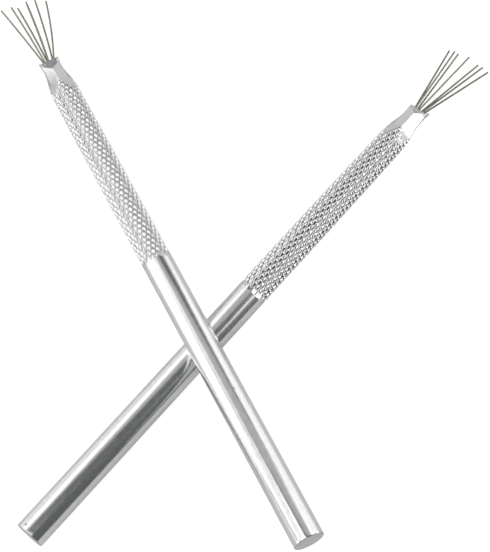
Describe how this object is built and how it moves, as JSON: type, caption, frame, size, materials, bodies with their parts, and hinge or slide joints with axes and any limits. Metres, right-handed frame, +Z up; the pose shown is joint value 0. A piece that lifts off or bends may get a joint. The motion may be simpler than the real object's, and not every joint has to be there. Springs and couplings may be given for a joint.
{
  "type": "crossed pair of wire texturing tools",
  "caption": "Two slim hand tools, crossed; each has a plain and knurled aluminium handle and a small fan of stiff wires in a crimped mouth, for scoring and texturing.",
  "frame": {"origin": "middle of the pair's underside, on the surface it lies on", "axes": "+Z up; +Y along the bisector of the crossed handles, toward the wires; +X to the right seen from the butts"},
  "size_m": [0.1348, 0.1507, 0.0217],
  "materials": {
    "satin_aluminium": "satin",
    "grey_filler": "matte",
    "spring_wire": "satin"
  },
  "bodies": {
    "upper_tool": {"upper_tool_handle": "satin_aluminium", "upper_tool_socket_plug": "grey_filler"},
    "upper_tool_wire_1": {"upper_tool_wire_1": "spring_wire"},
    "upper_tool_wire_2": {"upper_tool_wire_2": "spring_wire"},
    "upper_tool_wire_3": {"upper_tool_wire_3": "spring_wire"},
    "upper_tool_wire_4": {"upper_tool_wire_4": "spring_wire"},
    "upper_tool_wire_5": {"upper_tool_wire_5": "spring_wire"},
    "upper_tool_wire_6": {"upper_tool_wire_6": "spring_wire"},
    "upper_tool_wire_7": {"upper_tool_wire_7": "spring_wire"},
    "lower_tool": {"lower_tool_handle": "satin_aluminium", "lower_tool_socket_plug": "grey_filler"},
    "lower_tool_wire_1": {"lower_tool_wire_1": "spring_wire"},
    "lower_tool_wire_2": {"lower_tool_wire_2": "spring_wire"},
    "lower_tool_wire_3": {"lower_tool_wire_3": "spring_wire"},
    "lower_tool_wire_4": {"lower_tool_wire_4": "spring_wire"},
    "lower_tool_wire_5": {"lower_tool_wire_5": "spring_wire"},
    "lower_tool_wire_6": {"lower_tool_wire_6": "spring_wire"},
    "lower_tool_wire_7": {"lower_tool_wire_7": "spring_wire"}
  },
  "joints": [
    {"name": "upper_tool_wire_1_flex", "type": "hinge", "parent": "upper_tool", "child": "upper_tool_wire_1", "pos_m": [-0.05253, 0.05545, 0.0026], "axis": [-0.8287, -0.5597, 0], "range_deg": [-6, 6], "stiffness_Nm_per_rad": 0.086},
    {"name": "upper_tool_wire_2_flex", "type": "hinge", "parent": "upper_tool", "child": "upper_tool_wire_2", "pos_m": [-0.05232, 0.05567, 0.00325], "axis": [-0.8287, -0.5597, 0], "range_deg": [-6, 6], "stiffness_Nm_per_rad": 0.09},
    {"name": "upper_tool_wire_3_flex", "type": "hinge", "parent": "upper_tool", "child": "upper_tool_wire_3", "pos_m": [-0.05167, 0.05603, 0.0026], "axis": [-0.8287, -0.5597, 0], "range_deg": [-6, 6], "stiffness_Nm_per_rad": 0.093},
    {"name": "upper_tool_wire_4_flex", "type": "hinge", "parent": "upper_tool", "child": "upper_tool_wire_4", "pos_m": [-0.05141, 0.05628, 0.00325], "axis": [-0.8287, -0.5597, 0], "range_deg": [-6, 1], "stiffness_Nm_per_rad": 0.091},
    {"name": "upper_tool_wire_5_flex", "type": "hinge", "parent": "upper_tool", "child": "upper_tool_wire_5", "pos_m": [-0.05142, 0.05613, 0.002], "axis": [-0.8287, -0.5597, 0], "range_deg": [-1, 6], "stiffness_Nm_per_rad": 0.092},
    {"name": "upper_tool_wire_6_flex", "type": "hinge", "parent": "upper_tool", "child": "upper_tool_wire_6", "pos_m": [-0.05041, 0.05688, 0.0026], "axis": [-0.8287, -0.5597, 0], "range_deg": [-6, 6], "stiffness_Nm_per_rad": 0.091},
    {"name": "upper_tool_wire_7_flex", "type": "hinge", "parent": "upper_tool", "child": "upper_tool_wire_7", "pos_m": [-0.05008, 0.05718, 0.00325], "axis": [-0.8287, -0.5597, 0], "range_deg": [-6, 6], "stiffness_Nm_per_rad": 0.1},
    {"name": "lower_tool_wire_1_flex", "type": "hinge", "parent": "lower_tool", "child": "lower_tool_wire_1", "pos_m": [0.04876, 0.05373, 0.00349], "axis": [-0.8242, 0.5566, -0.1045], "range_deg": [-6, 6], "stiffness_Nm_per_rad": 0.092},
    {"name": "lower_tool_wire_2_flex", "type": "hinge", "parent": "lower_tool", "child": "lower_tool_wire_2", "pos_m": [0.04902, 0.05356, 0.00417], "axis": [-0.8242, 0.5566, -0.1045], "range_deg": [-6, 6], "stiffness_Nm_per_rad": 0.093},
    {"name": "lower_tool_wire_3_flex", "type": "hinge", "parent": "lower_tool", "child": "lower_tool_wire_3", "pos_m": [0.04945, 0.05326, 0.00358], "axis": [-0.8242, 0.5566, -0.1045], "range_deg": [-6, 6], "stiffness_Nm_per_rad": 0.09},
    {"name": "lower_tool_wire_4_flex", "type": "hinge", "parent": "lower_tool", "child": "lower_tool_wire_4", "pos_m": [0.04997, 0.05291, 0.0043], "axis": [-0.8242, 0.5566, -0.1045], "range_deg": [-6, 6], "stiffness_Nm_per_rad": 0.089},
    {"name": "lower_tool_wire_5_flex", "type": "hinge", "parent": "lower_tool", "child": "lower_tool_wire_5", "pos_m": [0.05053, 0.05253, 0.00371], "axis": [-0.8242, 0.5566, -0.1045], "range_deg": [-6, 6], "stiffness_Nm_per_rad": 0.088},
    {"name": "lower_tool_wire_6_flex", "type": "hinge", "parent": "lower_tool", "child": "lower_tool_wire_6", "pos_m": [0.05095, 0.05226, 0.00442], "axis": [-0.8242, 0.5566, -0.1045], "range_deg": [-6, 6], "stiffness_Nm_per_rad": 0.088},
    {"name": "lower_tool_wire_7_flex", "type": "hinge", "parent": "lower_tool", "child": "lower_tool_wire_7", "pos_m": [0.05122, 0.05207, 0.0038], "axis": [-0.8242, 0.5566, -0.1045], "range_deg": [-6, 6], "stiffness_Nm_per_rad": 0.086},
    {"name": "upper_tool_lift", "type": "slide", "parent": "lower_tool", "child": "upper_tool", "axis": [0, 0, 1], "range_m": [0, 0.06]}
  ]
}
